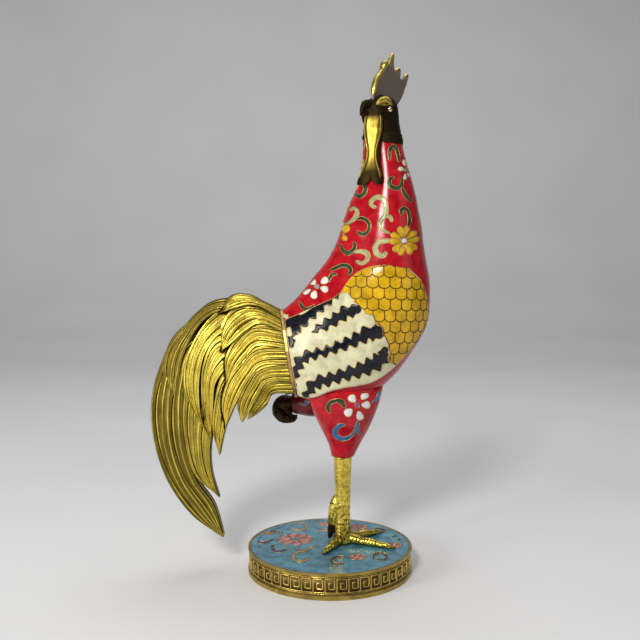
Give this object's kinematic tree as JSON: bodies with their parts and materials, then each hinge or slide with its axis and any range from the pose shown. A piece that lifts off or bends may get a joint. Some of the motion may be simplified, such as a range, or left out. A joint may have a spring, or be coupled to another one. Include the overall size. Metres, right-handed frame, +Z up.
{
  "type": "rooster figurine",
  "caption": "Enamelled metal rooster standing on one leg, with a cast head, comb, wattles and layered sickle tail, on a round enamelled base with a brass rim.",
  "frame": {"origin": "centre of the base's underside, on the surface that it stands on", "axes": "+Z up, +X the way the breast faces, +Y towards the bird's left"},
  "size_m": [0.151, 0.09, 0.2807],
  "materials": {
    "rim_brass": "aged gilt with dark recesses",
    "sky_enamel": "polished sky-blue enamel with wire-framed flowers and scrolls",
    "steel": "plain turned steel",
    "leg_brass": "gilt, finely hammered",
    "red_enamel": "polished red enamel with wire-framed flowers and scrolls",
    "wing_enamel": "polished enamel: yellow scales in front, black and cream wavy bars behind",
    "plug_brass": "raw brass",
    "tail_brass": "bright gilt with dark grooves",
    "head_brass": "dark aged brass, finely feathered",
    "comb_brass": "brown-grey aged sides, bright edge and tips",
    "wattle_brass": "bright gilt, rubbed rims",
    "eye_brass": "polished"
  },
  "bodies": {
    "root": {"base_rim": "rim_brass", "base_plate": "sky_enamel", "base_washer": "steel", "base_nut": "steel", "standing_leg": "leg_brass", "raised_leg": "leg_brass", "standing_thigh": "red_enamel", "raised_thigh": "red_enamel", "body_shell": "red_enamel", "wing_right": "wing_enamel", "wing_left": "wing_enamel", "tail_collar": "rim_brass", "tail_plug": "plug_brass", "tail_right": "tail_brass", "tail_left": "tail_brass", "head": "head_brass", "comb": "comb_brass", "wattle_right": "wattle_brass", "wattle_left": "wattle_brass", "eyes": "eye_brass"}
  },
  "joints": []
}
